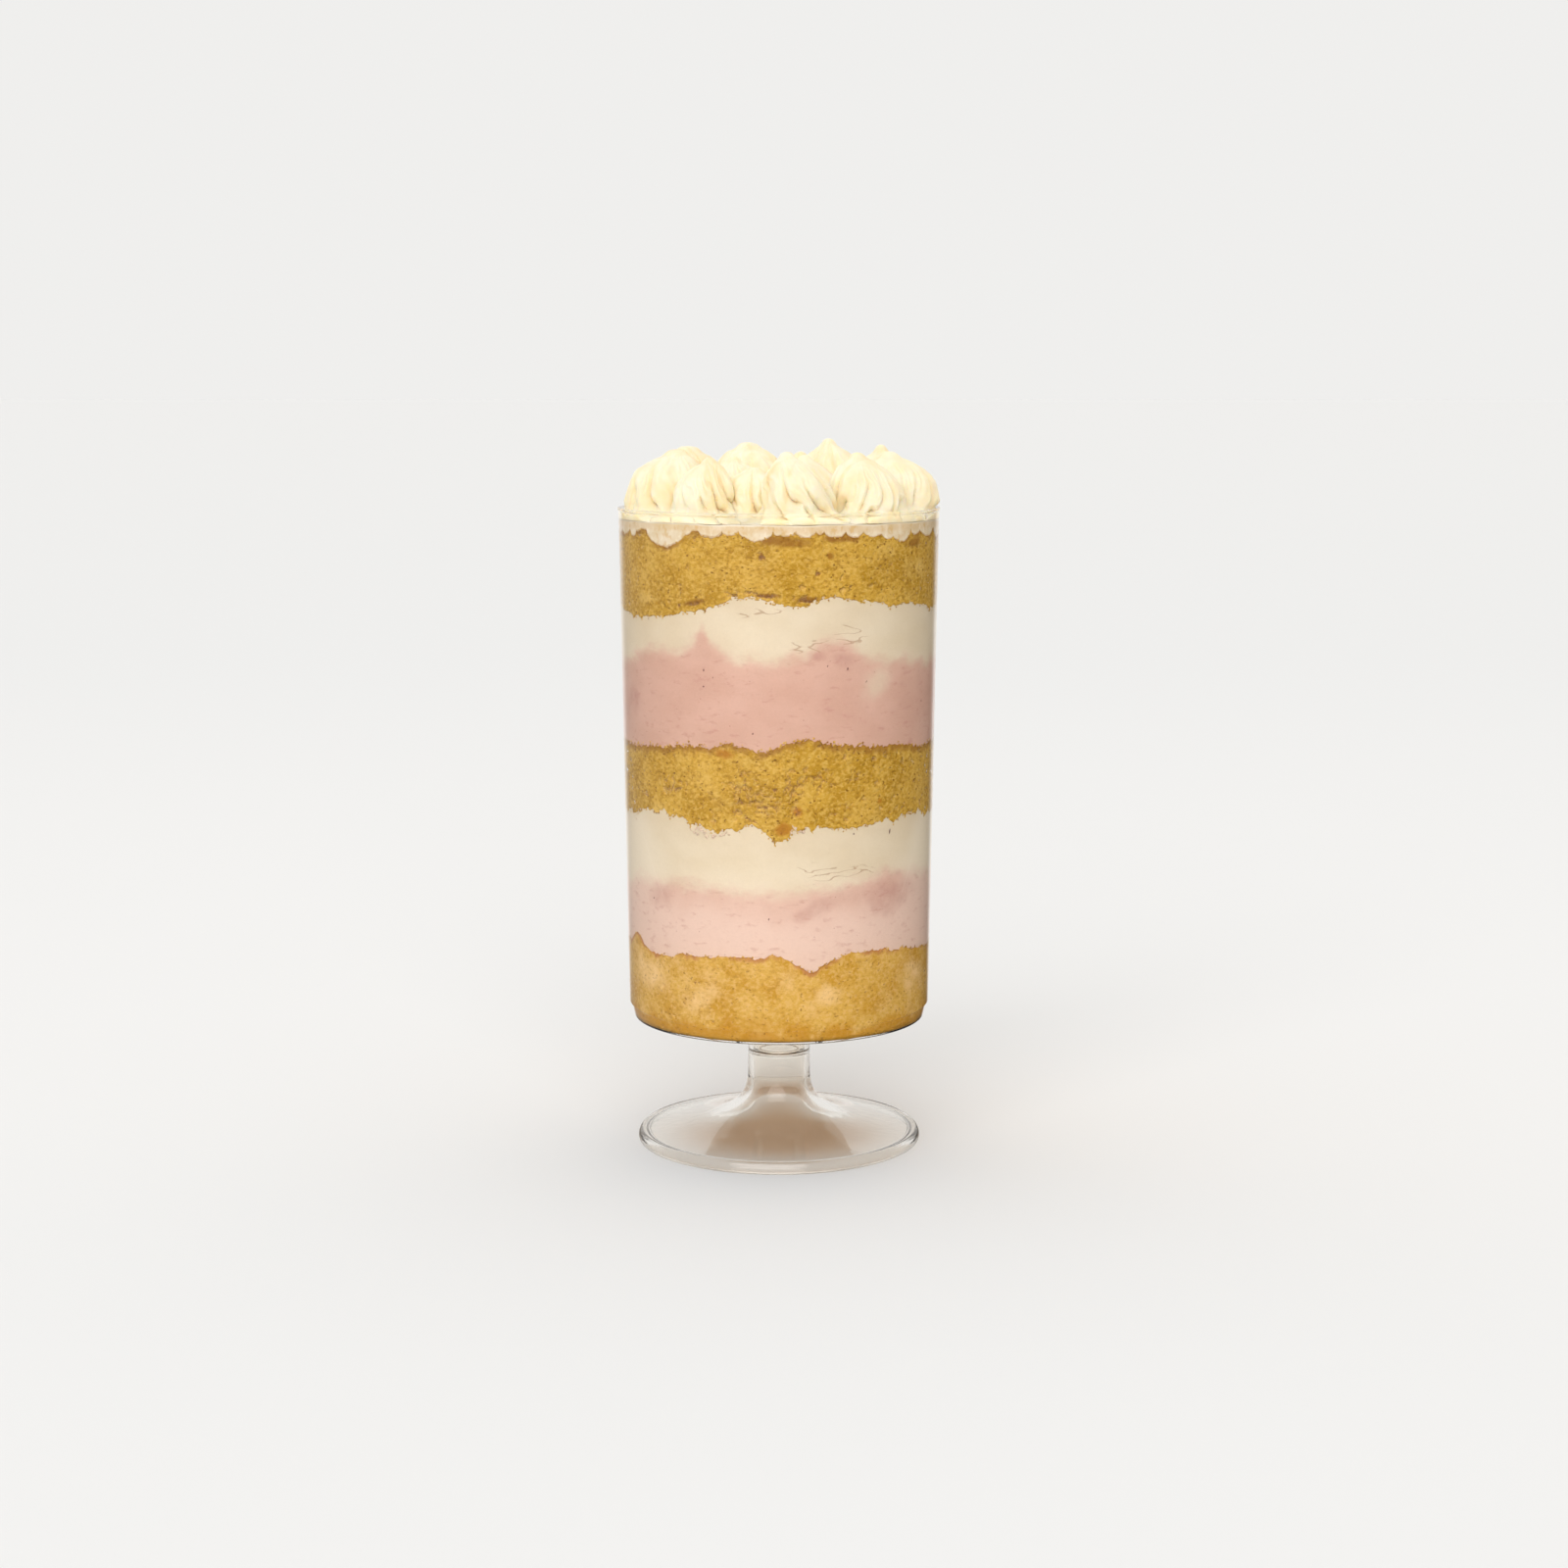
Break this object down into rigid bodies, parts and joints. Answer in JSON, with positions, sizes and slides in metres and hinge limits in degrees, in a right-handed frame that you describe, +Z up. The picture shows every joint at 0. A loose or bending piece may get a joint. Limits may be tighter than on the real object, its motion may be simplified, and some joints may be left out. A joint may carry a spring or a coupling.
{
  "type": "trifle in a footed bowl",
  "caption": "Tall clear footed bowl filled with layers of sponge, whipped cream and berry mousse, topped with piped cream rosettes",
  "frame": {"origin": "centre of the foot's underside, on the table", "axes": "+Z up along the bowl's axis, -Y towards the front of the trifle, +X to its right seen from the front"},
  "size_m": [0.15, 0.15, 0.3317],
  "materials": {
    "clear_plastic": "clear moulded plastic, polished",
    "sponge": "open golden sponge crumb, dry",
    "soaked_sponge": "sponge crumb soaked with syrup, smooth and slightly wet",
    "cream": "whipped cream pressed smooth against the wall",
    "mousse": "pale pink berry mousse with fine specks",
    "piped_cream": "piped buttery whipped cream, satin"
  },
  "bodies": {
    "root": {"foot": "clear_plastic", "bowl": "clear_plastic", "sponge_bottom": "soaked_sponge", "mousse_lower": "mousse", "cream_lower": "cream", "sponge_middle": "sponge", "mousse_upper": "mousse", "cream_upper": "cream", "sponge_top": "sponge", "cream_bed": "cream", "rosette_01": "piped_cream", "rosette_02": "piped_cream", "rosette_03": "piped_cream", "rosette_04": "piped_cream", "rosette_05": "piped_cream", "rosette_06": "piped_cream", "rosette_07": "piped_cream", "rosette_08": "piped_cream", "rosette_09": "piped_cream", "rosette_10": "piped_cream", "rosette_11": "piped_cream", "rosette_12": "piped_cream", "rosette_13": "piped_cream"}
  },
  "joints": []
}
